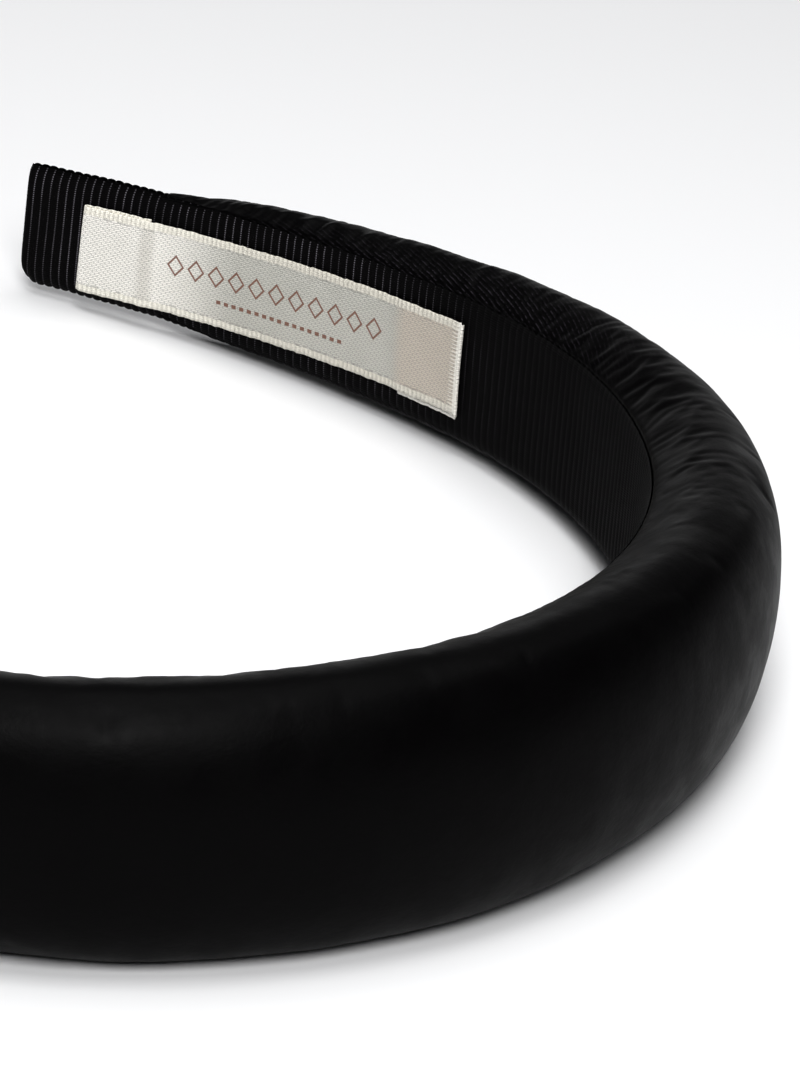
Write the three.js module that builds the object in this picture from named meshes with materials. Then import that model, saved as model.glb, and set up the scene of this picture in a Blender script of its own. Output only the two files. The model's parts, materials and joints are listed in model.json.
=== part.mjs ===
// A padded headband that lies on its long edge, as it does on a table. Millimetres, +Z up.
// +Y points from the open tips to the crown, +X away from the arm that carries the label.
// The band is laid out on a flat mid-plane first, then leaned a little, tips down, as its
// tapered cover makes it lie on z = 0.
//
// Along the band, s is the distance from the crown along the inner face, u the distance
// outwards from the lining's inner face, and z the place across the band's width.
import * as THREE from 'three';

// Plan of the inner face: three arcs from the crown to each tip.
const CROWN_RADIUS = 61.5;
const CROWN_ARC_END = 53.5;
const SIDE_RADIUS = 77.5;
const SIDE_ARC_END = 115;
const LEG_RADIUS = 196;
const TIP_S = 185.5;

// Layers, from the inside out.
const RIBBON_THICK = 0.5;
const SATIN_THICK = 0.4;
const CORE_THICK = 1.2;
const LABEL_THICK = 0.25;
const LAYER_GAP = 0.3;
const SEAM_U = RIBBON_THICK + LAYER_GAP;

// Half widths across the band.
const RIBBON_HALF_CROWN = 9.9;
const RIBBON_HALF_TIP = 8.5;
const TURNED_RIBBON_HALF = 8.2;
const CORE_HALF = 7.5;
const HEM_INNER_HALF = 4.5;
const COVER_HALF_CROWN = 14.6;
const COVER_HALF_END = 9.3;

// The padded cover's length and thickness.
const COVER_END_S = 164;
const COVER_THICK_CROWN = 16.4;
const COVER_THICK_END = 3.7;
const COVER_ROUNDNESS_CROWN = 2.1;
const COVER_ROUNDNESS_END = 4;
const FOAM_END_S = 157;
const TURNED_RIBBON_END_S = 159;
const HEM_NARROWS_FROM = 138;
const CORE_SINKS_FROM = 150;
const CORE_SINKS_TO = 162;

// The tips.
const TIP_CORNER = 2.5;
const CORE_TIP_S = TIP_S - 1;
const TIP_FOLD_RADIUS = 0.9;

// The woven label on one arm's lining, with both ends folded under.
const LABEL_START_S = 111.3;
const LABEL_END_S = 176.4;
const LABEL_HALF = 6.15;
const LABEL_FLAP = 10;
const LABEL_DROP_AT_TIP = 1.3;
const LABEL_FOLD_RADIUS = 0.2;

// The crown, where the band springs open. Each half turns about a line through the core.
const HINGE_U = 2.1;
const CROWN_GAP = 0.4;
const NOTCH_HALF_ANGLE = THREE.MathUtils.degToRad(6.3);

// How the band leans when it lies on its edge.
const REST_LEAN = THREE.MathUtils.degToRad(1.8);

const LONG_STEP = 5.5;
const AROUND_STEPS = 7;

const smooth = (value, from, to) => THREE.MathUtils.smoothstep(value, from, to);

// Point of the inner face's plan at distance s from the crown, with its heading.
function planPoint(s) {
  const arcs = [
    [CROWN_RADIUS, CROWN_ARC_END],
    [SIDE_RADIUS, SIDE_ARC_END],
    [LEG_RADIUS, Infinity],
  ];
  const point = { x: 0, y: 0, heading: 0 };
  let start = 0;
  for (const [radius, end] of arcs) {
    const run = Math.min(s, end) - start;
    const next = point.heading + run / radius;
    point.x += radius * (Math.sin(next) - Math.sin(point.heading));
    point.y += radius * (Math.cos(next) - Math.cos(point.heading));
    point.heading = next;
    start = end;
    if (s <= end) break;
  }
  return point;
}

// Band coordinates to space, for the arm on the given side (-1 or +1 along X).
function place(side, s, u, z) {
  const { x, y, heading } = planPoint(s);
  const across = x + u * Math.sin(heading);
  return new THREE.Vector3(side * across, y + u * Math.cos(heading), z);
}

// Where a half starts at the crown, at height u, so that the notch opens outwards.
function crownStart(u) {
  const open = Math.max(0, u - HINGE_U) * Math.tan(NOTCH_HALF_ANGLE);
  const angle = Math.asin((CROWN_GAP / 2 + open) / (CROWN_RADIUS + u));
  return angle * CROWN_RADIUS;
}

const ribbonHalf = (s) => {
  const taper = Math.cos((Math.PI / 2) * (s / TIP_S));
  return RIBBON_HALF_TIP + (RIBBON_HALF_CROWN - RIBBON_HALF_TIP) * taper;
};

// Half width lost to the rounded corners of a strip that ends at endS.
function cornerLoss(s, endS) {
  const into = Math.max(0, s - (endS - TIP_CORNER));
  return TIP_CORNER - Math.sqrt(Math.max(0, TIP_CORNER ** 2 - into ** 2));
}

// The core lies over the cover's hems, and against the lining where the hems end.
const coreInnerU = (s) => {
  const high = SEAM_U + SATIN_THICK + LAYER_GAP;
  return high + (SEAM_U - high) * smooth(s, CORE_SINKS_FROM, CORE_SINKS_TO);
};
const coreOuterU = (s) => coreInnerU(s) + CORE_THICK;

// The cover's section at s: thickness, half width and roundness.
function coverSection(s) {
  const swell = Math.cos((Math.PI / 2) * Math.min(1, s / COVER_END_S));
  const blend = smooth(s, 110, COVER_END_S);
  return {
    thick: COVER_THICK_END + (COVER_THICK_CROWN - COVER_THICK_END) * swell ** 0.85,
    half: COVER_HALF_END + (COVER_HALF_CROWN - COVER_HALF_END) * swell ** 0.75,
    roundness: COVER_ROUNDNESS_CROWN + (COVER_ROUNDNESS_END - COVER_ROUNDNESS_CROWN) * blend,
    edge: ribbonHalf(s),
  };
}

// Half width of the padded section at height u, pulled in by inset: a soft bulge up from the
// seam beside the lining, then a rounded crown.
function halfWidthAt(section, inset, u) {
  const { thick, half, roundness, edge } = section;
  const middle = (thick + SEAM_U) / 2;
  if (u < middle) {
    const part = (u - SEAM_U - inset) / (middle - SEAM_U - inset);
    return edge + (half - edge) * (1 - (1 - part) ** 2) - inset;
  }
  const rise = (u - middle) / (thick - inset - middle);
  return (half - inset) * (1 - rise ** roundness) ** (1 / roundness);
}

// Half of a padded outline, from height base to just short of the outer middle line.
function halfOutline(s, inset, base) {
  const section = coverSection(s);
  const top = section.thick - inset;
  return Array.from({ length: AROUND_STEPS + 1 }, (_, i) => {
    const part = (1 - Math.cos((Math.PI * i) / (AROUND_STEPS + 0.5))) / 2;
    const u = base + (top - base) * part;
    return [u, halfWidthAt(section, inset, u)];
  });
}

const withMirror = (points) => [...points, ...points.map(([u, z]) => [u, -z]).reverse()];

// The cover is one cloth: hem, side, outer face, side, hem. Its inner face runs back under it.
function coverRing(s) {
  const narrow = smooth(s, HEM_NARROWS_FROM, CORE_SINKS_FROM);
  const hem = HEM_INNER_HALF + (CORE_HALF + LAYER_GAP - HEM_INNER_HALF) * narrow;
  const outer = [[SEAM_U, hem], ...halfOutline(s, 0, SEAM_U)];
  const innerBase = SEAM_U + SATIN_THICK;
  const inner = [[innerBase, hem], ...halfOutline(s, SATIN_THICK, innerBase)];
  return [...withMirror(outer), ...withMirror(inner).reverse()];
}

// The foam fills the cover above the core.
const foamRing = (s) => (
  withMirror(halfOutline(s, SATIN_THICK + LAYER_GAP, coreOuterU(s) + LAYER_GAP))
);

// Joins rings of equal length into one closed body. Point i faces point n - 1 - i, and each
// end is closed by the strips between such pairs.
function loft(rings, flip) {
  const count = rings[0].length;
  const positions = rings.flat().flatMap((p) => [p.x, p.y, p.z]);
  const faces = [];
  const quad = (a, b, c, d) => faces.push(a, b, c, a, c, d);
  for (let r = 0; r + 1 < rings.length; r += 1) {
    for (let i = 0; i < count; i += 1) {
      const next = (i + 1) % count;
      const base = r * count;
      quad(base + i, base + next, base + count + next, base + count + i);
    }
  }
  for (let i = 0; i < count / 2 - 1; i += 1) {
    const far = count - 1 - i;
    const last = (rings.length - 1) * count;
    quad(i, far, far - 1, i + 1);
    quad(last + i, last + i + 1, last + far - 1, last + far);
  }
  if (flip) faces.reverse();
  const geometry = new THREE.BufferGeometry();
  geometry.setAttribute('position', new THREE.Float32BufferAttribute(positions, 3));
  geometry.setIndex(faces);
  geometry.computeVertexNormals();
  return geometry;
}

function stations(from, to, step) {
  const count = Math.ceil((to - from) / step);
  return Array.from({ length: count + 1 }, (_, i) => from + ((to - from) * i) / count);
}

// A layer whose section changes along one arm, starting at the crown's notch.
function armLayer(side, ringAt, endS) {
  const first = ringAt(0).map(([u, z]) => place(side, crownStart(u), u, z));
  const rest = stations(LONG_STEP, endS, LONG_STEP);
  const rings = rest.map((s) => ringAt(s).map(([u, z]) => place(side, s, u, z)));
  return loft([first, ...rings], side > 0);
}

// A flat strip along a route of [s, u, low z, high z] points, thick towards +u of its start.
function strip(side, route, thick) {
  const rings = route.map(([s, u, low, high], i) => {
    const [s0, u0] = route[Math.max(0, i - 1)];
    const [s1, u1] = route[Math.min(route.length - 1, i + 1)];
    const along = new THREE.Vector2(s1 - s0, u1 - u0).normalize();
    const [ds, du] = [-along.y * (thick / 2), along.x * (thick / 2)];
    return [[-1, low], [1, low], [1, high], [-1, high]].map(([face, z]) => (
      place(side, s + face * ds, u + face * du, z)
    ));
  });
  return loft(rings, side < 0);
}

// The lining ribbon runs down the inner face, folds over the tip and ends on the outside.
function liningRoute() {
  const half = RIBBON_THICK / 2;
  const foldS = TIP_S - half - TIP_FOLD_RADIUS;
  const outerU = (s) => coreOuterU(s) + LAYER_GAP + half;
  const corner = (centreU, from) => stations(0, Math.PI / 2, Math.PI / 6).map((turn) => {
    const angle = from + turn;
    return [foldS + TIP_FOLD_RADIUS * Math.cos(angle), centreU + TIP_FOLD_RADIUS * Math.sin(angle)];
  });
  const inner = stations(CROWN_GAP / 2, TIP_S - TIP_CORNER, LONG_STEP).map((s) => [s, half]);
  const fold = [
    ...corner(half + TIP_FOLD_RADIUS, -Math.PI / 2),
    ...corner(outerU(foldS) - TIP_FOLD_RADIUS, 0),
  ];
  const outer = stations(TIP_S - TIP_CORNER, TURNED_RIBBON_END_S, -LONG_STEP / 2);
  return [...inner, ...fold, ...outer.map((s) => [s, outerU(s)])];
}

function liningGeometry(side) {
  const route = liningRoute().map(([s, u]) => {
    const full = u < HINGE_U / 2 ? ribbonHalf(s) : TURNED_RIBBON_HALF;
    const half = full - cornerLoss(s, TIP_S);
    return [s, u, -half, half];
  });
  return strip(side, route, RIBBON_THICK);
}

function coreGeometry(side) {
  const straight = stations(CROWN_GAP / 2, CORE_TIP_S - TIP_CORNER, LONG_STEP);
  const rounded = stations(CORE_TIP_S - TIP_CORNER, CORE_TIP_S, TIP_CORNER / 4).slice(1);
  const route = [...straight, ...rounded].map((s) => {
    const half = CORE_HALF - cornerLoss(s, CORE_TIP_S);
    return [s, coreInnerU(s) + CORE_THICK / 2, -half, half];
  });
  return strip(side, route, CORE_THICK);
}

// The label's sheet stands clear of the lining by its own folded-under flaps.
function labelGeometry(side) {
  const flapU = -LAYER_GAP - LABEL_THICK / 2;
  const foldU = flapU - LABEL_FOLD_RADIUS;
  const fold = (centreS, from) => stations(0, Math.PI, Math.PI / 4).map((turn) => {
    const angle = from + turn;
    return [centreS + LABEL_FOLD_RADIUS * Math.cos(angle), foldU + LABEL_FOLD_RADIUS * Math.sin(angle)];
  });
  const first = LABEL_START_S + LABEL_FOLD_RADIUS + LABEL_THICK / 2;
  const last = LABEL_END_S - LABEL_FOLD_RADIUS - LABEL_THICK / 2;
  const sheet = stations(first, last, LONG_STEP).slice(1, -1);
  const line = [
    [first + LABEL_FLAP, flapU],
    [first + LABEL_FLAP / 2, flapU],
    ...fold(first, Math.PI / 2),
    ...sheet.map((s) => [s, foldU - LABEL_FOLD_RADIUS]),
    ...fold(last, -Math.PI / 2),
    [last - LABEL_FLAP / 2, flapU],
    [last - LABEL_FLAP, flapU],
  ];
  const route = line.map(([s, u]) => {
    const centre = -LABEL_DROP_AT_TIP * ((s - LABEL_START_S) / (LABEL_END_S - LABEL_START_S));
    return [s, u, centre - LABEL_HALF, centre + LABEL_HALF];
  });
  return strip(side, route, LABEL_THICK);
}

const looks = {
  satin: { color: 0x0b0a0c, roughness: 0.42, metalness: 0 },
  grosgrain: { color: 0x0c0b0d, roughness: 0.85, metalness: 0 },
  core: { color: 0x141415, roughness: 0.5, metalness: 0 },
  foam: { color: 0xe6e2d8, roughness: 0.95, metalness: 0 },
  label: { color: 0xe7e1d2, roughness: 0.6, metalness: 0 },
};

function piece(name, geometry, look) {
  const mesh = new THREE.Mesh(geometry, new THREE.MeshStandardMaterial(looks[look]));
  mesh.name = name;
  return mesh;
}

function halfBand(side, word) {
  const half = new THREE.Group();
  half.add(piece(`lining_ribbon_${word}`, liningGeometry(side), 'grosgrain'));
  half.add(piece(`core_band_${word}`, coreGeometry(side), 'core'));
  half.add(piece(`foam_pad_${word}`, armLayer(side, foamRing, FOAM_END_S), 'foam'));
  half.add(piece(`satin_cover_${word}`, armLayer(side, coverRing, COVER_END_S), 'satin'));
  return half;
}

const band = new THREE.Group();
band.add(halfBand(-1, 'left'));
band.add(halfBand(1, 'right'));
band.add(piece('woven_label', labelGeometry(-1), 'label'));
band.rotation.x = REST_LEAN;

// Stand the leaned band on z = 0 with the origin below the middle of its box.
const box = new THREE.Box3().setFromObject(band, true);
const middle = box.getCenter(new THREE.Vector3());
band.position.set(-middle.x, -middle.y, -box.min.z);

const group = new THREE.Group();
group.add(band);

export default group;
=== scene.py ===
"""A black padded satin headband, lying on its long edge on a pale floor.

The layers are built along the band's own coordinates: s along the inner face from the crown
(negative on the arm that carries the label), u outwards from the lining, z across the band.
Lengths in the band's coordinates are in millimetres, and to_row() turns them into metres.
"""

import json
import math

import bpy
import numpy as np
from mathutils import Matrix, Vector


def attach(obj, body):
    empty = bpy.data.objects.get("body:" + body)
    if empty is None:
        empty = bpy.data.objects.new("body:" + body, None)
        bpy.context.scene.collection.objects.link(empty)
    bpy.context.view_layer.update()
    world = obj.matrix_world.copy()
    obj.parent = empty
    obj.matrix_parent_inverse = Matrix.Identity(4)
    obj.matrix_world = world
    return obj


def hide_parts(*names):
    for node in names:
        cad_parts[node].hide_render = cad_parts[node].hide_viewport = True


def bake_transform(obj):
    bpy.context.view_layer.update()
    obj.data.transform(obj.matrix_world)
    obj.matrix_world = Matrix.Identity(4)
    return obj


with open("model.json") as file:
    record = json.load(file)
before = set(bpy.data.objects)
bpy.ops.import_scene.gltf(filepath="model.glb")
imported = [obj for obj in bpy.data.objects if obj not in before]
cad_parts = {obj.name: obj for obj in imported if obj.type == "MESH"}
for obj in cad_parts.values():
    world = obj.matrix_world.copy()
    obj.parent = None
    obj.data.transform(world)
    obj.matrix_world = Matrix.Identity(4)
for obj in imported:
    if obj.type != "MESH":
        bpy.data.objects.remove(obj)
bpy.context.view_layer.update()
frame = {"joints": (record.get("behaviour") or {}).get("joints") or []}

MM = 0.001
LABELLED, PLAIN = "labelled_half", "plain_half"

# Plan of the inner face: three arcs from the crown to each tip.
ARC_RADII = (61.5, 77.5, 196.0)
ARC_ENDS = (53.5, 115.0)
TIP_S = 185.5
TIP_EXTRA = 0.9

# Layers.
RIBBON_THICK = 0.5
SEAM_U = 0.8
CORE_THICK = 1.2
CORE_HALF = 7.5
CORE_RISE = 0.7
CORE_SINKS = (150, 162)
CORE_TIP_CORNER = 2.5
FOAM_END_S = 157.0
FOAM_INSET = 1.5
LAYER_GAP = 0.3
HINGE_U = 2.1
RIBBON_HALF_CROWN, RIBBON_HALF_TIP = 9.9, 8.5

# The padded cover.
COVER_END_S = 164.0
COVER_THICK_CROWN, COVER_THICK_END = 16.4, 3.7
COVER_HALF_CROWN, COVER_HALF_END = 14.6, 9.3
ROUNDNESS_CROWN, ROUNDNESS_END = 2.1, 4.0
SIDE_SHARE = 0.45

# The cover's mesh, and how far its cloth is pulled down to the lining at the seam.
COVER_ROWS, COVER_COLUMNS = 601, 53
SEAM_PULL = 0.42

# The cover's cloth: the simulation runs larger than life, and its spare length makes the gathers.
CLOTH_SCALE = 4.0
CLOTH_FRAMES = 20
SPARE_CLOTH = 0.015
SPARE_CLOTH_AT_SEAM = 0.08
GATHER_PITCH = 2.2
GATHER_DEPTH_CROWN, GATHER_DEPTH_ARM = 0.18, 0.45
SATIN_THICK = 0.35

# The ribs of the lining lean a little near the labelled tip.
RIB_PITCH = 1.3
RIB_LEAN = 0.075

# Past the cover the two ribbon layers close on each other along their edges.
WRAP_MIDDLE_U = 1.4
TURNED_RIBBON_END_S = 159
TIP_FOLD_RADIUS = 0.9

# The label: its ends are folded under, each flap a little askew.
LABEL_START_S, LABEL_END_S = 111.3, 176.4
LABEL_HALF = 6.15
LABEL_DROP = 1.3
LABEL_FLAP = 10.6
LABEL_THICK = 0.2
LABEL_UNDER_U = -0.34
LABEL_FOLD_RADIUS = 0.2
LABEL_STEP = 0.35

# The label's woven pattern: pitch, where each row runs along the tape, and its line across it.
LOZENGE_PITCH, LOZENGE_RUN, LOZENGE_LINE = 3.4, (13.4, 51.0), 0.9
DASH_PITCH, DASH_RUN, DASH_LINE = 1.3, (20.4, 42.7), -2.6

# Thread pitches in the materials.
TWILL_PITCH, TWILL_SLANT = 1.35, 2.2
RIBBON_THREAD_PITCH = 0.3
FLOAT_LENGTH, FLOAT_PITCH = 1.1, 0.27
SELVEDGE_CORD_PITCH = 0.75
FOLD_LOOP_PITCH = 0.5

# Where the camera stands: angles in degrees, lengths in metres, the lens in millimetres.
CAMERA_AZIMUTH, CAMERA_ELEVATION, CAMERA_ROLL = 49.18, 25.57, 5.58
CAMERA_DISTANCE = 0.40985
CAMERA_TARGET = (-0.0452, 0.00457, 0)
CAMERA_LENS = 113.9


# ---------------------------------------------------------------- band coordinates


def smooth(value, low, high):
    t = np.clip((value - low) / (high - low), 0, 1)
    return t * t * (3 - 2 * t)


def plan(s):
    """x, y and heading of the inner face's plan at signed distance s."""
    a = np.abs(np.asarray(s, float))
    x = np.zeros_like(a)
    y = np.zeros_like(a)
    heading = np.zeros_like(a)
    start = 0.0
    for radius, end in zip(ARC_RADII, (*ARC_ENDS, math.inf)):
        run = np.clip(np.minimum(a, end) - start, 0, None)
        turned = heading + run / radius
        x += radius * (np.sin(turned) - np.sin(heading))
        y += radius * (np.cos(turned) - np.cos(heading))
        heading = turned
        start = end
    return x, y, heading


def rest_place():
    """Rotation and origin of the band's mid-plane, from the crown joint's line."""
    joint = frame["joints"][0]
    axis = Vector(joint["axis"])
    turn = Matrix.Rotation(math.atan2(-axis.y, axis.z), 3, "X")
    origin = Vector(joint["pos_m"]) - turn @ Vector((0, HINGE_U * MM, 0))
    return np.array(turn), np.array(origin)


TURN, ORIGIN = rest_place()


def to_row(s, u, z):
    """Band coordinates in mm, as arrays of one shape, to points in metres."""
    s, u, z = np.broadcast_arrays(np.asarray(s, float), u, z)
    x, y, heading = plan(s)
    flat = np.stack([np.sign(s) * (x + u * np.sin(heading)), y + u * np.cos(heading), z], -1)
    return flat * MM @ TURN.T + ORIGIN


def ribbon_half(s):
    taper = np.cos(np.pi / 2 * np.minimum(1, np.abs(s) / TIP_S))
    return RIBBON_HALF_TIP + (RIBBON_HALF_CROWN - RIBBON_HALF_TIP) * taper


def core_inner_u(s):
    """The core lies over the cover's hems, and against the lining where the hems end."""
    return SEAM_U + CORE_RISE - CORE_RISE * smooth(np.abs(s), *CORE_SINKS)


def cover_section(s):
    a = np.minimum(np.abs(s), COVER_END_S)
    swell = np.cos(np.pi / 2 * a / COVER_END_S)
    swell = np.clip(swell, 0, 1)
    thick = COVER_THICK_END + (COVER_THICK_CROWN - COVER_THICK_END) * swell**0.85
    half = COVER_HALF_END + (COVER_HALF_CROWN - COVER_HALF_END) * swell**0.75
    roundness = ROUNDNESS_CROWN + (ROUNDNESS_END - ROUNDNESS_CROWN) * smooth(a, 110, COVER_END_S)
    return thick, half, roundness


def padded_point(s, around, inset=0.0):
    """u and z of the padded outline; around runs from -1 at the low seam to 1 at the top one."""
    thick, half, roundness = cover_section(s)
    edge = ribbon_half(s)
    low = SEAM_U + inset
    top = thick - inset
    middle = (thick + SEAM_U) / 2
    rise = 1 - np.abs(around)
    first = np.clip(rise / SIDE_SHARE, 0, 1)
    angle = np.pi / 2 * np.clip((rise - SIDE_SHARE) / (1 - SIDE_SHARE), 0, 1)
    u_low = low + (middle - low) * first
    z_low = edge + (half - edge) * (1 - (1 - first) ** 2) - inset
    power = 2 / roundness
    u_high = middle + (top - middle) * np.sin(angle) ** power
    z_high = (half - inset) * np.cos(angle) ** power
    is_low = rise <= SIDE_SHARE
    u = np.where(is_low, u_low, u_high)
    z = np.where(is_low, z_low, z_high)
    return u, np.sign(around) * z


# ---------------------------------------------------------------- meshes


def new_object(name, points, faces, uv=None):
    mesh = bpy.data.meshes.new(name)
    mesh.from_pydata(np.asarray(points).reshape(-1, 3).tolist(), [], np.asarray(faces).tolist())
    mesh.polygons.foreach_set("use_smooth", [True] * len(mesh.polygons))
    if uv is not None:
        layer = mesh.uv_layers.new(name="UVMap")
        loops = np.empty(len(mesh.loops), np.int32)
        mesh.loops.foreach_get("vertex_index", loops)
        layer.data.foreach_set("uv", np.asarray(uv, np.float32).reshape(-1, 2)[loops].ravel())
    mesh.update()
    obj = bpy.data.objects.new(name, mesh)
    bpy.context.scene.collection.objects.link(obj)
    return obj


def grid_faces(rows, columns, wrap=False):
    """Quads of a grid of points; wrap joins the last column to the first."""
    r = np.arange(rows - 1)[:, None]
    c = np.arange(columns if wrap else columns - 1)[None, :]
    n = (c + 1) % columns
    here = r * columns
    corners = [here + c, here + n, here + columns + n, here + columns + c]
    return np.stack(corners, -1).reshape(-1, 4)


def end_caps(rows, columns):
    """Strips that close both ends of a wrapped grid whose column i faces column n - 1 - i."""
    i = np.arange(columns // 2 - 1)
    far = columns - 1 - i
    last = (rows - 1) * columns
    first = np.stack([i, far, far - 1, i + 1], -1)
    second = np.stack([last + i, last + i + 1, last + far - 1, last + far], -1)
    return np.concatenate([first, second])


def tube_object(name, points, uv=None):
    """A closed body from rings of points."""
    rows, columns = points.shape[:2]
    faces = np.concatenate([grid_faces(rows, columns, wrap=True), end_caps(rows, columns)])
    return new_object(name, points, faces, uv)


def wave_noise(x, y, seed, octaves=3):
    """Smooth repeatable noise from a few crossed sine waves, about -1 to 1."""
    random = np.random.default_rng(seed)
    total = np.zeros(np.broadcast(x, y).shape)
    weight_sum = 0.0
    for octave in range(octaves):
        weight = 0.6**octave
        for _ in range(3):
            angle = random.uniform(0, 2 * np.pi)
            rate = 2**octave * random.uniform(0.7, 1.4)
            phase = random.uniform(0, 2 * np.pi)
            total = total + weight * np.sin(rate * (x * np.cos(angle) + y * np.sin(angle)) + phase)
            weight_sum += weight * 0.6
    return total / weight_sum


# ---------------------------------------------------------------- shader building


class Shader:
    """A material under construction, with short calls for its nodes."""

    def __init__(self, name):
        self.material = bpy.data.materials.new(name)
        self.material.use_nodes = True
        self.tree = self.material.node_tree
        self.surface = self.tree.nodes["Principled BSDF"]

    def node(self, kind, **settings):
        made = self.tree.nodes.new(kind)
        for key, value in settings.items():
            setattr(made, key, value)
        return made

    def put(self, socket, value):
        if isinstance(value, bpy.types.NodeSocket):
            self.tree.links.new(value, socket)
        else:
            socket.default_value = value

    def math(self, operation, *values, clamp=False):
        made = self.node("ShaderNodeMath", operation=operation, use_clamp=clamp)
        for socket, value in zip(made.inputs, values):
            self.put(socket, value)
        return made.outputs[0]

    def ramp(self, value, low, high, to_low=0.0, to_high=1.0):
        made = self.node("ShaderNodeMapRange", interpolation_type="SMOOTHSTEP")
        for socket, setting in zip(made.inputs, (value, low, high, to_low, to_high)):
            self.put(socket, setting)
        return made.outputs[0]

    def noise(self, vector, scale, detail=2.0, roughness=0.5):
        made = self.node("ShaderNodeTexNoise")
        self.put(made.inputs["Vector"], vector)
        made.inputs["Scale"].default_value = scale
        made.inputs["Detail"].default_value = detail
        made.inputs["Roughness"].default_value = roughness
        return made.outputs["Fac"]

    def mix(self, factor, first, second):
        made = self.node("ShaderNodeMix", data_type="RGBA")
        self.put(made.inputs["Factor"], factor)
        self.put(made.inputs["A"], first)
        self.put(made.inputs["B"], second)
        return made.outputs["Result"]

    def uv(self):
        """The mesh's own layout, in millimetres: along, across."""
        made = self.node("ShaderNodeUVMap", uv_map="UVMap")
        split = self.node("ShaderNodeSeparateXYZ")
        self.tree.links.new(made.outputs[0], split.inputs[0])
        return made.outputs[0], split.outputs[0], split.outputs[1]

    def place(self):
        """The point on the object at rest, in metres."""
        return self.node("ShaderNodeTexCoord").outputs["Object"]

    def bump(self, height, distance, strength=1.0):
        made = self.node("ShaderNodeBump")
        made.inputs["Strength"].default_value = strength
        made.inputs["Distance"].default_value = distance
        self.put(made.inputs["Height"], height)
        self.put(self.surface.inputs["Normal"], made.outputs[0])

    def set(self, **values):
        for key, value in values.items():
            self.put(self.surface.inputs[key.replace("_", " ")], value)


# ---------------------------------------------------------------- materials


def satin_material():
    """Black bias-cut satin, soft and uneven; its fine twill shows near the seams, with painted glints on
    the ridges.
    """
    shader = Shader("black_satin")
    vector, along, across = shader.uv()
    slant = shader.math("SUBTRACT", along, shader.math("MULTIPLY", across, TWILL_SLANT))
    twill = shader.math("SINE", shader.math("MULTIPLY", slant, 2 * math.pi / TWILL_PITCH))
    ridge = shader.ramp(twill, 0.45, 1.0)
    by_seam = shader.ramp(shader.math("ABSOLUTE", across), 13.0, 20.0)
    on_arm = shader.ramp(shader.math("ABSOLUTE", along), 70.0, 115.0)
    near = shader.math("MULTIPLY", by_seam, on_arm)
    thread = shader.noise(vector, 1.1, detail=5.0, roughness=0.7)
    patches = shader.noise(shader.place(), 220.0, detail=4.0, roughness=0.6)
    cloudy = shader.noise(shader.place(), 75.0, detail=3.0)
    height = shader.math("ADD", shader.math("MULTIPLY", shader.math("MULTIPLY", twill, near), 0.6), thread)
    height = shader.math("ADD", height, shader.math("MULTIPLY", patches, 2.0))
    shader.bump(height, 0.00005, 0.6)
    color = shader.mix(cloudy, (0.0005, 0.0004, 0.0005, 1), (0.0013, 0.0011, 0.0013, 1))
    # Painted glints: light grey along the twill's ridges near the seams, dotted along the threads.
    painted_glint = shader.math("MULTIPLY", shader.math("MULTIPLY", near, ridge), shader.ramp(thread, 0.42, 0.62))
    color = shader.mix(painted_glint, color, (0.035, 0.031, 0.038, 1))
    rough = shader.ramp(patches, 0.35, 0.65, 0.40, 0.48)
    shader.set(Base_Color=color, Roughness=rough)
    shader.surface.inputs["Specular IOR Level"].default_value = 0.05
    return shader.material


def grosgrain_material():
    """Black ribbed ribbon; the layout's first value counts ribs, the second is across in mm. The grooves
    carry painted glints.
    """
    shader = Shader("black_grosgrain")
    vector, ribs, across = shader.uv()
    phase = shader.math("FRACT", ribs)
    from_groove = shader.math("MINIMUM", phase, shader.math("SUBTRACT", 1.0, phase))
    groove = shader.ramp(from_groove, 0.03, 0.11, 1.0, 0.0)
    threads = shader.math("SINE", shader.math("MULTIPLY", across, 2 * math.pi / RIBBON_THREAD_PITCH))
    dots = shader.ramp(threads, -0.4, 0.8, 0.15, 1.0)
    patches = shader.noise(shader.place(), 160.0, detail=2.0)
    split = shader.node("ShaderNodeSeparateXYZ")
    shader.put(split.inputs[0], shader.place())
    near_tip = shader.ramp(split.outputs[1], -0.030, -0.002, 1.0, 0.10)
    # Painted glints: dotted grey lines in the grooves, faded by near_tip, by patches and towards the low
    # edge.
    painted_glint = shader.math("MULTIPLY", groove, dots)
    painted_glint = shader.math("MULTIPLY", painted_glint, shader.ramp(patches, 0.35, 0.65, 0.35, 1.0))
    painted_glint = shader.math("MULTIPLY", painted_glint, near_tip)
    painted_glint = shader.math("MULTIPLY", painted_glint, shader.ramp(across, -9.0, -5.0, 0.35, 1.0))
    color = shader.mix(painted_glint, (0.0018, 0.0015, 0.0018, 1), (0.19, 0.18, 0.20, 1))
    height = shader.math("ADD", shader.math("MULTIPLY", threads, 0.5), patches)
    shader.bump(height, 0.00006, 0.7)
    shader.set(Base_Color=color)
    shader.surface.inputs["Roughness"].default_value = 0.7
    shader.surface.inputs["Specular IOR Level"].default_value = 0.06
    return shader.material


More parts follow.
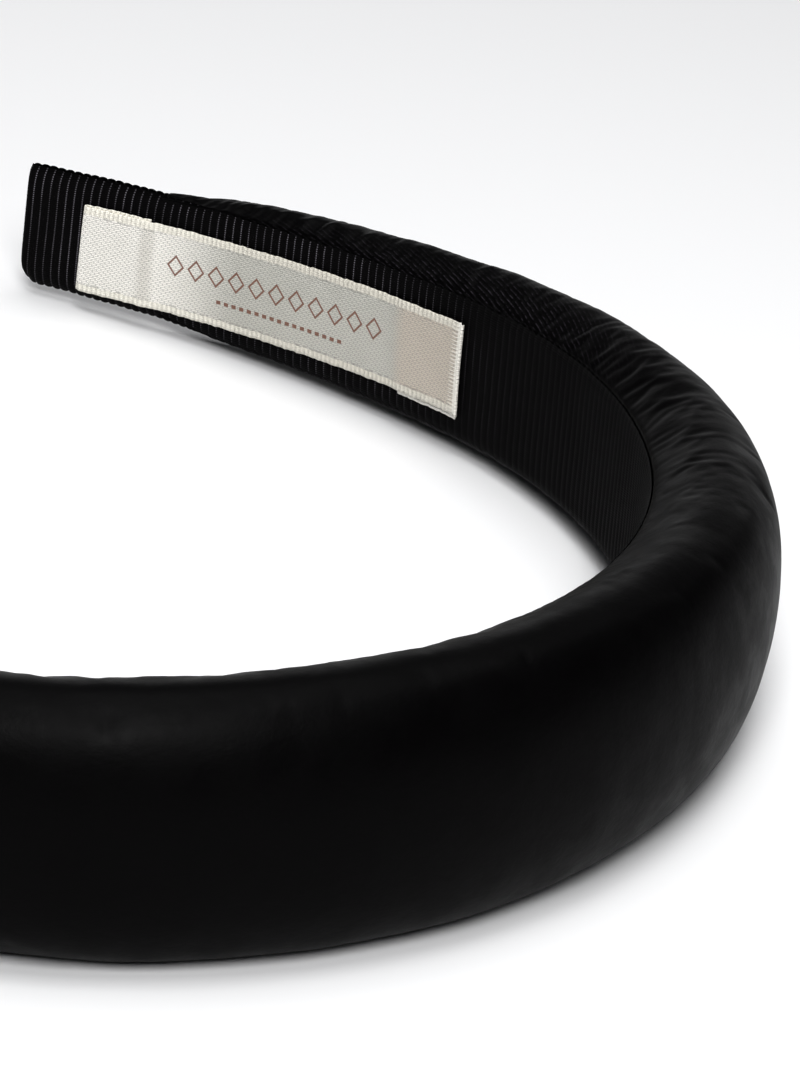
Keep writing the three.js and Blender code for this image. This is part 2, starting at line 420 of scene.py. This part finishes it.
def label_tone(shader, along, across, edge):
    """The tape's ground: beige at the crown end, greyer in the middle, whiter towards the tip."""
    cloudy = shader.noise(shader.place(), 70.0, detail=3.0)
    beige = shader.mix(cloudy, (0.56, 0.50, 0.43, 1), (0.66, 0.60, 0.52, 1))
    grey = shader.mix(cloudy, (0.54, 0.53, 0.48, 1), (0.64, 0.63, 0.575, 1))
    white = shader.mix(cloudy, (0.90, 0.87, 0.80, 1), (0.99, 0.97, 0.92, 1))
    tone = shader.mix(shader.ramp(along, 9.5, 12.5), beige, grey)
    tone = shader.mix(shader.ramp(along, 38.0, 52.0), tone, white)
    # Painted shade: a darker band across the tape along the step near 54.2 mm.
    from_fold = shader.math("ABSOLUTE", shader.math("SUBTRACT", along, 54.2))
    tone = shader.mix(shader.ramp(from_fold, 0.3, 1.9, 0.35, 0.0), tone, (0.50, 0.47, 0.41, 1))
    pale = shader.mix(shader.ramp(along, 30.0, 56.0), (0.74, 0.71, 0.63, 1), (0.92, 0.89, 0.80, 1))
    return shader.mix(edge, tone, pale)


def within(shader, value, run, soft=0.3):
    """1 inside a run from start to end, 0 outside it."""
    start, end = run
    after_start = shader.ramp(value, start, start + soft)
    before_end = shader.ramp(value, end - soft, end, 1.0, 0.0)
    return shader.math("MULTIPLY", after_start, before_end)


def label_pattern(shader, along, across):
    """Where the brown woven pattern shows: a chain of hollow lozenges over a row of short dashes."""
    cell = shader.math("FRACT", shader.math("MULTIPLY", along, 1 / LOZENGE_PITCH))
    aside = shader.math("ABSOLUTE", shader.math("SUBTRACT", cell, 0.5))
    rise = shader.math("ABSOLUTE", shader.math("SUBTRACT", across, LOZENGE_LINE))
    reach = shader.math("ADD", shader.math("MULTIPLY", aside, 2.3), shader.math("MULTIPLY", rise, 0.62))
    from_ring = shader.math("ABSOLUTE", shader.math("SUBTRACT", reach, 0.84))
    ring = shader.ramp(from_ring, 0.09, 0.16, 1.0, 0.0)
    lozenges = shader.math("MULTIPLY", ring, within(shader, along, LOZENGE_RUN))
    low = shader.math("ABSOLUTE", shader.math("SUBTRACT", across, DASH_LINE))
    row = shader.ramp(low, 0.22, 0.32, 1.0, 0.0)
    dash = shader.math("FRACT", shader.math("MULTIPLY", along, 1 / DASH_PITCH))
    dash = shader.ramp(dash, 0.5, 0.6, 1.0, 0.0)
    dashes = shader.math("MULTIPLY", shader.math("MULTIPLY", row, dash), within(shader, along, DASH_RUN))
    return shader.math("MAXIMUM", lozenges, dashes)


def label_material():
    """Ivory satin tape: slanting floats between plain selvedges, with a woven brown pattern."""
    shader = Shader("ivory_label")
    vector, along, across = shader.uv()
    row = shader.math("MULTIPLY", across, 1 / FLOAT_PITCH)
    shift = shader.math("MULTIPLY", shader.math("FLOOR", row), 0.38)
    floats = shader.math("MULTIPLY", along, -1 / FLOAT_LENGTH)
    slot = shader.math("FRACT", shader.math("ADD", floats, shift))
    float_end = shader.ramp(shader.math("MINIMUM", slot, shader.math("SUBTRACT", 1.0, slot)), 0.02, 0.14)
    in_row = shader.math("FRACT", row)
    between = shader.ramp(shader.math("MINIMUM", in_row, shader.math("SUBTRACT", 1.0, in_row)), 0.02, 0.3)
    weave = shader.math("MULTIPLY", float_end, between)
    from_middle = shader.math("ABSOLUTE", across)
    edge = shader.ramp(from_middle, LABEL_HALF - 1.1, LABEL_HALF - 0.95)
    stitches = shader.math("ABSOLUTE", shader.math("SUBTRACT", from_middle, LABEL_HALF - 1.15))
    stitches = shader.ramp(stitches, 0.04, 0.14, 1.0, 0.0)
    spots = shader.ramp(shader.noise(vector, 1.7, detail=2.0), 0.45, 0.6)
    stitches = shader.math("MULTIPLY", stitches, spots)
    tone = label_tone(shader, along, across, edge)
    shade = shader.math("MULTIPLY", shader.math("SUBTRACT", 1.0, weave), shader.math("SUBTRACT", 1.0, edge))
    tone = shader.mix(shader.math("MULTIPLY", shade, 0.42), tone, (0.16, 0.16, 0.15, 1))
    tone = shader.mix(shader.math("MULTIPLY", stitches, 0.5), tone, (0.2, 0.19, 0.17, 1))
    cord = shader.math("SINE", shader.math("MULTIPLY", along, 2 * math.pi / SELVEDGE_CORD_PITCH))
    cord = shader.math("MULTIPLY", shader.ramp(cord, -1.0, 1.0), edge)
    tone = shader.mix(shader.math("MULTIPLY", cord, 0.22), tone, (0.33, 0.31, 0.26, 1))
    pattern = shader.math("MULTIPLY", label_pattern(shader, along, across), 0.9)
    tone = shader.mix(pattern, tone, (0.2, 0.075, 0.04, 1))
    loops = shader.math("SINE", shader.math("MULTIPLY", across, 2 * math.pi / FOLD_LOOP_PITCH))
    by_fold = shader.ramp(along, 0.9, 1.5, 1.0, 0.0)
    loops = shader.math("MULTIPLY", shader.ramp(loops, 0.0, 0.9), by_fold)
    tone = shader.mix(shader.math("MULTIPLY", loops, 0.75), tone, (0.86, 0.83, 0.76, 1))
    tone = shader.mix(shader.ramp(along, 0.15, 0.4, 0.8, 0.0), tone, (0.88, 0.86, 0.80, 1))
    height = shader.math("ADD", weave, shader.math("MULTIPLY", loops, 1.5))
    height = shader.math("SUBTRACT", height, shader.math("MULTIPLY", cord, 1.5))
    shader.bump(height, 0.00007, 0.8)
    shader.set(Base_Color=tone)
    shader.surface.inputs["Roughness"].default_value = 0.45
    return shader.material


def core_material():
    """Moulded springy plastic with a faint flow texture."""
    shader = Shader("core_plastic")
    grain = shader.noise(shader.place(), 700.0, detail=3.0)
    shader.bump(grain, 0.00003, 0.5)
    shader.set(Base_Color=shader.mix(grain, (0.010, 0.010, 0.011, 1), (0.018, 0.018, 0.019, 1)))
    shader.surface.inputs["Roughness"].default_value = 0.45
    return shader.material


def foam_material():
    """Open-cell foam."""
    shader = Shader("pad_foam")
    cells = shader.node("ShaderNodeTexVoronoi")
    cells.inputs["Scale"].default_value = 1600.0
    shader.put(cells.inputs["Vector"], shader.place())
    shader.bump(cells.outputs["Distance"], 0.0002, 0.8)
    tint = shader.mix(cells.outputs["Distance"], (0.55, 0.5, 0.4, 1), (0.82, 0.78, 0.68, 1))
    shader.set(Base_Color=tint)
    shader.surface.inputs["Roughness"].default_value = 0.95
    return shader.material


# ---------------------------------------------------------------- pieces


def finish_piece(obj, material, slot, *nodes):
    obj.data.materials.clear()
    obj.data.materials.append(material)
    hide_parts(*nodes)
    return obj


def flex(obj):
    """A piece of the whole band, which runs over the crown: its placement is baked into its mesh."""
    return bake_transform(obj)


def blurred(values, passes):
    """A grid smoothed along both of its directions."""
    for _ in range(passes):
        padded = np.pad(values, ((1, 1), (0, 0), (0, 0)), mode="edge")
        values = (padded[:-2] + 2 * values + padded[2:]) / 4
        padded = np.pad(values, ((0, 0), (1, 1), (0, 0)), mode="edge")
        values = (padded[:, :-2] + 2 * values + padded[:, 2:]) / 4
    return values


def vertex_group(obj, name, weights):
    group = obj.vertex_groups.new(name=name)
    for index, weight in enumerate(weights.ravel().tolist()):
        if weight > 0:
            group.add([index], weight, "REPLACE")
    return group.name


def gathered_cloth(points, held, full):
    """The grid of points after a cloth simulation at CLOTH_SCALE times the size.

    held is 1 where the cloth is sewn down; full is 1 where the seam gathers the most length.
    """
    obj = new_object("cloth_run", points * CLOTH_SCALE, grid_faces(*points.shape[:2]))
    cloth = obj.modifiers.new("cloth", "CLOTH")
    settings = cloth.settings
    settings.quality = 6
    settings.mass = 0.25
    settings.tension_stiffness = 18
    settings.compression_stiffness = 18
    settings.shear_stiffness = 4
    settings.bending_stiffness = 0.08
    settings.air_damping = 2
    settings.use_pressure = True
    settings.uniform_pressure_force = 3
    settings.shrink_min = -SPARE_CLOTH
    settings.shrink_max = -SPARE_CLOTH_AT_SEAM
    settings.effector_weights.gravity = 0
    settings.vertex_group_mass = vertex_group(obj, "held", held)
    settings.vertex_group_shrink = vertex_group(obj, "full", full)
    cloth.collision_settings.use_collision = False
    scene = bpy.context.scene
    cloth.point_cache.frame_start = 1
    cloth.point_cache.frame_end = CLOTH_FRAMES
    for number in range(1, CLOTH_FRAMES + 1):
        scene.frame_set(number)
    mesh = obj.evaluated_get(bpy.context.evaluated_depsgraph_get()).to_mesh()
    settled = np.empty(len(mesh.vertices) * 3)
    mesh.vertices.foreach_get("co", settled)
    bpy.data.objects.remove(obj)
    scene.frame_set(1)
    return settled.reshape(points.shape) / CLOTH_SCALE


def cover_sheet():
    """The cloth as sewn: s down the rows, round the tube from the low seam to the top one.

    Lumps and pleats are heights above the padded shape. They fade out at both ends, where the
    cover closes on the ribbon, and two more columns at each seam tuck under the lining's edge.
    """
    s = np.linspace(-COVER_END_S, COVER_END_S, COVER_ROWS)[:, None]
    around = np.linspace(-1, 1, COVER_COLUMNS)[None, :]
    edge = 1 - np.abs(around)
    a = np.abs(s)
    u, z = padded_point(s, around)
    ends = smooth(COVER_END_S - a, 0, 6)
    lump = 0.10 * wave_noise(s / 5, around * 5, seed=4) + 0.15 * wave_noise(s / 20, around * 2, seed=9)
    rate = 2 * np.pi / GATHER_PITCH
    pleat = wave_noise(s * rate + 4 * around, around * 2, seed=31, octaves=2)
    fullness = (0.22 + 0.78 * smooth(a, 25, 80)) * (0.3 + 0.7 * (1 - smooth(edge, 0.05, 0.7)))
    uneven = 0.6 + 0.4 * wave_noise(s / 4, around * 3, seed=44)
    depth = (lump + 0.12 * pleat * fullness * uneven) * ends * (0.25 + 0.75 * smooth(edge, 0, 0.08))
    middle = (cover_section(s)[0] + SEAM_U) / 2
    swell = 1 + depth / np.maximum(np.hypot(u - middle, z), 1)
    close = 1 - smooth(COVER_END_S - a + 1.2 * wave_noise(around * 8, 0 * s, seed=52), 0, 11)
    u = middle + (u - middle) * swell
    u = u - (u - SEAM_U) * 0.2 * close
    at_seam = 1 - smooth(edge, 0, 0.14)
    u = u - SEAM_PULL * at_seam
    z = z * swell * (1 - 0.055 * close) + np.sign(around) * 0.12 * at_seam
    tuck_in = np.array([2.2, 1.0])[None, :] + 0 * s
    tuck_u = np.array([0.85, 0.72])[None, :] + 0 * s
    rim = ribbon_half(s)
    u = np.concatenate([tuck_u, u, tuck_u[:, ::-1]], 1)
    z = np.concatenate([tuck_in - rim, z, rim - tuck_in[:, ::-1]], 1)
    edge = np.concatenate([[[0, 0]], edge, [[0, 0]]], 1)
    return s, edge, to_row(s, u, z)


def satin_cover():
    s, edge, points = cover_sheet()
    rows, columns = points.shape[:2]
    gaps = np.linalg.norm(np.diff(points, axis=1), axis=2) / MM
    girth = np.concatenate([np.zeros((rows, 1)), np.cumsum(gaps, 1)], 1)
    girth -= girth[:, -1:] / 2
    uv = np.stack([np.broadcast_to(s, girth.shape), girth], -1)
    held = np.where((edge < 0.001) | (np.abs(s) > COVER_END_S - 0.5), 1.0, 0.0)
    uneven = 0.75 + 0.25 * wave_noise(s / 5, edge, seed=21)
    full = np.clip((1 - smooth(edge, 0.02, 0.5)) * uneven, 0, 1)
    moved = gathered_cloth(points, held, full) - points
    moved = moved - blurred(moved, 80)
    size = np.linalg.norm(moved, axis=2, keepdims=True)
    depth = GATHER_DEPTH_CROWN + (GATHER_DEPTH_ARM - GATHER_DEPTH_CROWN) * smooth(np.abs(s), 25, 90)
    limit = depth[:, :, None] * MM
    points = points + moved * np.tanh(size / limit) * limit / np.maximum(size, 1e-9)
    obj = new_object("satin_cover", points, grid_faces(rows, columns), uv)
    finer = obj.modifiers.new("finer", "SUBSURF")
    finer.levels = finer.render_levels = 1
    solid = obj.modifiers.new("cloth_thickness", "SOLIDIFY")
    solid.thickness = SATIN_THICK * MM
    solid.offset = -1
    finish_piece(obj, satin_material(), "satin", "satin_cover_left", "satin_cover_right")
    return flex(obj)


def rib_height(phase):
    """0 in a groove, 1 along a rib's back."""
    return np.abs(np.sin(np.pi * phase)) ** 0.55


def turned_ribbon_u(s):
    return core_inner_u(s) + CORE_THICK + LAYER_GAP + RIBBON_THICK / 2


def ribbon_path():
    """Centre line of the lining from one outer turned end, round the tips, to the other: s, u."""
    inner_u = RIBBON_THICK / 2
    fold = TIP_FOLD_RADIUS
    fold_s = TIP_S - inner_u - fold + TIP_EXTRA
    top_u = turned_ribbon_u(fold_s)
    turned = np.array([[s, turned_ribbon_u(s)] for s in np.arange(TURNED_RIBBON_END_S, fold_s, 0.5)])
    steps = np.linspace(0, np.pi / 2, 7)
    top = np.stack([fold_s + fold * np.sin(steps), top_u - fold + fold * np.cos(steps)], -1)
    low = np.stack([fold_s + fold * np.cos(steps), inner_u + fold - fold * np.sin(steps)], -1)
    inner = np.array([[s, inner_u] for s in np.arange(fold_s - 0.5, 0, -0.5)])
    half = np.concatenate([turned, top, low, inner])
    return np.concatenate([half * [-1, 1], [[0, inner_u]], half[::-1]])


def resample(path, step):
    lengths = np.concatenate([[0], np.cumsum(np.linalg.norm(np.diff(path, axis=0), axis=1))])
    at = np.arange(0, lengths[-1], step)
    return np.stack([np.interp(at, lengths, path[:, k]) for k in (0, 1)], -1), at


def tip_corner_loss(s, across):
    """How much the ribbon narrows at its folded ends; the low corner is rounder than the top one."""
    radius = np.where(across > 0, 0.4, 3.2)
    into = np.clip(np.abs(s) - (TIP_S + TIP_EXTRA - radius), 0, radius * 0.97)
    return radius - np.sqrt(radius**2 - into**2)


def lining_ribbon():
    path, run = resample(ribbon_path(), RIB_PITCH / 8)
    tangent = np.gradient(path, axis=0)
    tangent /= np.linalg.norm(tangent, axis=1)[:, None]
    normal = np.stack([-tangent[:, 1], tangent[:, 0]], -1)
    s = path[:, 0:1]
    a = np.abs(s)
    across = np.linspace(-1, 1, 21)[None, :]
    wander = 0.10 * wave_noise(s / 6, across * 1.5, seed=3)
    phase = run[:, None] / RIB_PITCH + wander
    height = rib_height(phase)
    half = ribbon_half(s) + 0.24 * (height - 0.6) + 0.08 * wave_noise(s / 2, 0 * s, seed=8)
    z = across * (half - tip_corner_loss(s, across))
    lean = -RIB_LEAN * z * smooth(a, 120, 172) * np.where(s < 0, -1, 1)
    soft_edge = np.sqrt(np.clip(1 - across**8, 0, 1))
    front = (RIBBON_THICK / 2 + 0.2 * (height - 0.6)) * soft_edge
    back = RIBBON_THICK / 2 * soft_edge
    sides = []
    for offset in (-front, back):
        ss = s + lean + normal[:, 0:1] * offset
        uu = path[:, 1:2] + normal[:, 1:2] * offset
        uu = uu + (WRAP_MIDDLE_U - uu) * 0.6 * across**8 * smooth(a, 150, 166)
        layout = np.stack(np.broadcast_arrays(phase, z), -1)
        sides.append((to_row(ss, uu, z), layout))
    points = np.concatenate([sides[0][0], sides[1][0][:, ::-1]], 1)
    layout = np.concatenate([sides[0][1], sides[1][1][:, ::-1]], 1)
    obj = tube_object("lining_ribbon", points, layout)
    finish_piece(obj, grosgrain_material(), "grosgrain", "lining_ribbon_left", "lining_ribbon_right")
    return flex(obj)


def label_path():
    """The label's line as sewn, from one flap over the face to the other: distance, u, askew, run."""
    under, fold = LABEL_UNDER_U, LABEL_FOLD_RADIUS
    over = under - 2 * fold
    first, last = LABEL_START_S + fold, LABEL_END_S - fold
    steps = np.linspace(0, np.pi, 9)[1:-1]
    flap = np.arange(LABEL_FLAP, 0, -LABEL_STEP)
    face = np.arange(first, last, LABEL_STEP)
    lift = smooth(face, first + 10, first + 13) * smooth(last - face, 10, 13)
    rows = [[first + d, under, -0.55 - 0.02 * (LABEL_FLAP - d)] for d in flap]
    rows += [[first - fold * math.sin(k), under - fold + fold * math.cos(k), -0.3] for k in steps]
    rows += [[d, over + 0.3 * k, 0.0] for d, k in zip(face, lift)]
    rows += [[last + fold * math.sin(k), under - fold - fold * math.cos(k), 0.15] for k in steps]
    rows += [[last - d, under, 0.22] for d in flap[::-1]]
    path = np.array(rows)
    run = np.concatenate([[0], np.cumsum(np.linalg.norm(np.diff(path[:, :2], axis=0), axis=1))])
    return path, run - run[len(flap) + len(steps)]


def woven_label():
    path, run = label_path()
    distance, u, askew = (path[:, k : k + 1] for k in range(3))
    across = np.linspace(-1, 1, 37)[None, :]
    share = (distance - LABEL_START_S) / (LABEL_END_S - LABEL_START_S)
    edge_wave = 0.09 * wave_noise(run[:, None] / 0.2, across, seed=5)
    z = 0.1 - LABEL_DROP * share + askew + across * (LABEL_HALF + edge_wave)
    skew = -0.09 * (z + LABEL_DROP) * smooth(share, 0.6, 1.0)
    bulge = 0.07 * wave_noise(distance / 6, across * 1.5, seed=12) + 0.10 * (1 - across**2)
    points = to_row(-(distance + skew), u - bulge, z)
    layout = np.stack(np.broadcast_arrays(run[:, None], across * LABEL_HALF), -1)
    obj = new_object("label_tape", points, grid_faces(*points.shape[:2]), layout)
    solid = obj.modifiers.new("tape_thickness", "SOLIDIFY")
    solid.thickness = LABEL_THICK * MM
    solid.offset = 0
    finish_piece(obj, label_material(), "label", "woven_label")
    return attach(obj, LABELLED)


def core_band():
    end = TIP_S - 1
    s = np.linspace(-end, end, 381)[:, None]
    angle = np.linspace(0, 2 * np.pi, 32, endpoint=False)[None, :] + np.pi / 32
    square = 0.22
    c, n = np.cos(angle), np.sin(angle)
    corner = CORE_TIP_CORNER
    into = np.clip(np.abs(s) - (end - corner), 0, corner)
    loss = corner - np.sqrt(np.clip(corner**2 - into**2, 0, None))
    u = core_inner_u(s) + CORE_THICK / 2 + CORE_THICK / 2 * np.sign(c) * np.abs(c) ** square
    z = (CORE_HALF - loss) * np.sign(n) * np.abs(n) ** square
    obj = tube_object("core_band", to_row(s, u, z))
    finish_piece(obj, core_material(), "core", "core_band_left", "core_band_right")
    return flex(obj)


def foam_pad():
    s = np.linspace(-FOAM_END_S, FOAM_END_S, 201)[:, None]
    around = np.linspace(-0.86, 0.86, 34)[None, :]
    u, z = padded_point(s, around, inset=FOAM_INSET)
    base = core_inner_u(s) + CORE_THICK + LAYER_GAP
    obj = tube_object("foam_pad", to_row(s, np.maximum(u, base), z))
    finish_piece(obj, foam_material(), "foam", "foam_pad_left", "foam_pad_right")
    return flex(obj)


# ---------------------------------------------------------------- camera, floor and light


def camera():
    azimuth, elevation, roll = (
        math.radians(v) for v in (CAMERA_AZIMUTH, CAMERA_ELEVATION, CAMERA_ROLL)
    )
    target = Vector(CAMERA_TARGET)
    back = Vector(
        (
            math.cos(elevation) * math.cos(azimuth),
            math.cos(elevation) * math.sin(azimuth),
            math.sin(elevation),
        )
    )
    right = Vector((0, 0, 1)).cross(back).normalized()
    up = back.cross(right)
    right, up = (
        right * math.cos(roll) + up * math.sin(roll),
        up * math.cos(roll) - right * math.sin(roll),
    )
    data = bpy.data.cameras.new("camera")
    data.lens = CAMERA_LENS
    data.sensor_width = 36
    data.clip_start = 0.01
    obj = bpy.data.objects.new("camera", data)
    bpy.context.scene.collection.objects.link(obj)
    turn = Matrix((right, up, back)).transposed().to_4x4()
    obj.matrix_world = Matrix.Translation(target + back * CAMERA_DISTANCE) @ turn
    bpy.context.scene.camera = obj


def floor():
    shader = Shader("pale_floor")
    shader.set(Base_Color=(0.79, 0.79, 0.795, 1))
    shader.surface.inputs["Roughness"].default_value = 0.9
    shader.surface.inputs["Specular IOR Level"].default_value = 0.1
    size = 4.0
    corners = [(-size, -size, 0), (size, -size, 0), (size, size, 0), (-size, size, 0)]
    obj = new_object("floor", corners, [(0, 1, 2, 3)])
    obj.data.materials.append(shader.material)


def area_light(name, place, aim, size, power):
    data = bpy.data.lights.new(name, "AREA")
    data.shape = "RECTANGLE"
    data.size, data.size_y = size
    data.energy = power
    obj = bpy.data.objects.new(name, data)
    bpy.context.scene.collection.objects.link(obj)
    direction = Vector(aim) - Vector(place)
    obj.matrix_world = Matrix.Translation(place) @ direction.to_track_quat("-Z", "Y").to_matrix().to_4x4()


def lights():
    area_light("overhead", (-0.18, -0.12, 1.1), (-0.05, 0, 0), (1.0, 1.0), 7.6)
    area_light("key_box", (0.16, 0.24, 0.92), (0, 0, 0), (0.3, 0.3), 2.9)
    area_light("front_box", (0.28, 0.40, 0.47), (0, 0, 0), (0.26, 0.26), 3.8)
    area_light("back_wall", (-0.9, -1.05, 0.22), (0, 0, 0.02), (1.6, 0.4), 2.5)
    world = bpy.data.worlds.new("studio")
    world.use_nodes = True
    world.node_tree.nodes["Background"].inputs["Color"].default_value = (0.93, 0.95, 1, 1)
    world.node_tree.nodes["Background"].inputs["Strength"].default_value = 0.10
    bpy.context.scene.world = world
    bpy.context.scene.view_settings.view_transform = "Standard"
    bpy.context.scene.view_settings.gamma = 0.85


camera()
floor()
lights()
core_band()
foam_pad()
satin_cover()
lining_ribbon()
woven_label()
